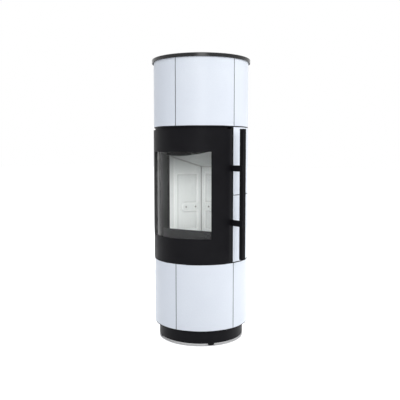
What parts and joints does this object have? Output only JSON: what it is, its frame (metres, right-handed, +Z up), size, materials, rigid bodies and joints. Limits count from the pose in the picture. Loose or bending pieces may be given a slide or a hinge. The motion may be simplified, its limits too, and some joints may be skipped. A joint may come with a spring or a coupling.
{
  "type": "tiled stove",
  "caption": "Round wood stove clad in glazed tiles, with a curved glass door, long bar handle, lined firebox, ash pan and top flue socket.",
  "frame": {"origin": "middle of the floor plate's underside, on the stove's upright axis", "axes": "+Z up; the door's middle faces -Y; the handle is on the +X side"},
  "size_m": [0.5904, 0.53, 1.505],
  "materials": {
    "grey_steel": "light grey paint, matt",
    "black_steel": "black stove paint, satin",
    "gloss_steel": "black enamel, glossy",
    "black_rubber": "black moulded feet",
    "black_plastic": "black knob",
    "glazed_tile": "bluish white glossy glaze",
    "lining_board": "pale fire board, matt",
    "cast_iron": "raw cast iron",
    "zinc_steel": "zinc plated steel",
    "door_glass": "clear ceramic glass",
    "glass_rope": "grey glass-fibre rope"
  },
  "bodies": {
    "stove_body": {"floor_plate": "grey_steel", "plinth": "black_steel", "base_plate": "black_steel", "pedestal_shell": "black_steel", "hearth_base": "black_steel", "upper_shelf": "black_steel", "tile_posts": "black_steel", "top_ring": "black_steel", "rear_cover": "black_steel", "firebox_shell": "black_steel", "firebox_front": "black_steel", "firebox_cheeks": "black_steel", "support_rails": "black_steel", "log_guard": "black_steel", "upper_baffle": "black_steel", "air_wash_deflector": "black_steel", "top_cover": "gloss_steel", "levelling_feet": "black_rubber", "lower_tile_right": "glazed_tile", "lower_tile_left": "glazed_tile", "lower_tile_front_right": "glazed_tile", "lower_tile_front_left": "glazed_tile", "middle_low_tile_right": "glazed_tile", "middle_low_tile_left": "glazed_tile", "middle_high_tile_right": "glazed_tile", "middle_high_tile_left": "glazed_tile", "upper_tile_right": "glazed_tile", "upper_tile_left": "glazed_tile", "upper_tile_front_right": "glazed_tile", "upper_tile_front_left": "glazed_tile", "lining_left": "lining_board", "lining_back": "lining_board", "lining_right": "lining_board", "lining_front_left": "lining_board", "lining_front_right": "lining_board", "baffle_plate": "lining_board", "grate": "cast_iron", "firebox_floor": "cast_iron", "flue_collar": "cast_iron", "tile_clips": "zinc_steel", "rear_cover_screws": "zinc_steel", "ash_pan": "zinc_steel", "valve_bolt": "zinc_steel", "hinge_pins": "zinc_steel", "catch_springs": "zinc_steel"},
    "door": {"door_skin": "black_steel", "door_inner_frame": "black_steel", "door_gasket": "glass_rope", "door_glass": "door_glass", "glass_tape": "glass_rope", "glass_clips": "zinc_steel", "glass_clip_screws": "zinc_steel", "hinge_blocks": "black_steel", "catch_studs": "zinc_steel", "handle_bar": "black_steel", "handle_brackets": "black_steel"},
    "air_control": {"valve_disc": "black_steel", "air_lever": "black_steel", "air_knob": "black_plastic"}
  },
  "joints": [
    {"name": "door_hinge", "type": "hinge", "parent": "stove_body", "child": "door", "pos_m": [-0.22651, -0.09849, 0.786], "axis": [0, 0, -1], "range_deg": [0, 110]},
    {"name": "air_lever_turn", "type": "hinge", "parent": "stove_body", "child": "air_control", "pos_m": [0, 0, 0.08], "axis": [0, 0, 1], "range_deg": [0, 30]}
  ]
}
